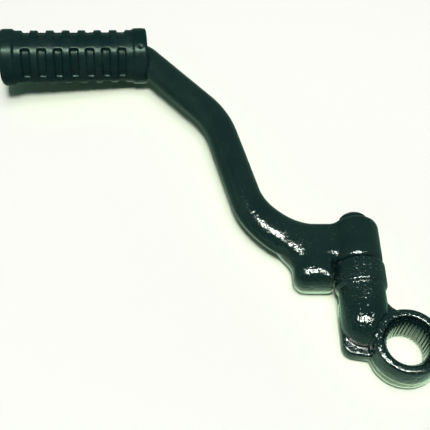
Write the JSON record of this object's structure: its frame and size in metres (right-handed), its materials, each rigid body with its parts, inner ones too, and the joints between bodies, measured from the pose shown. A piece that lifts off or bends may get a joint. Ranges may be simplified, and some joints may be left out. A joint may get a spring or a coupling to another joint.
{
  "type": "kick start lever",
  "caption": "Folding kick start lever for a motorbike: splined hub with a leg, bent round arm that folds on a pivot pin, rubber-covered pedal.",
  "frame": {"origin": "on the kick shaft's axis, at the hub's lower face", "axes": "+Z along the shaft axis, out of the hub's coned face; +Y along the pivot pin, from the hub toward the eye; the folded pedal lies toward -X"},
  "size_m": [0.1791, 0.1668, 0.0318],
  "materials": {
    "black_paint": "gloss",
    "rubber": "matte",
    "steel": "satin"
  },
  "bodies": {
    "boss": {"kick_boss": "black_paint", "pivot_pin": "black_paint", "pivot_washer": "black_paint"},
    "arm": {"kick_arm": "black_paint", "pedal_rubber": "rubber", "detent_spring": "steel"},
    "ball": {"detent_ball": "steel"}
  },
  "joints": [
    {"name": "fold", "type": "hinge", "parent": "boss", "child": "arm", "pos_m": [-0.0137, 0.0415, 0.0095], "axis": [0, 1, 0], "range_deg": [0, 90]},
    {"name": "detent", "type": "slide", "parent": "arm", "child": "ball", "axis": [1, 0, 0], "range_m": [0, 0.0003], "deforming": ["detent_spring"]}
  ]
}
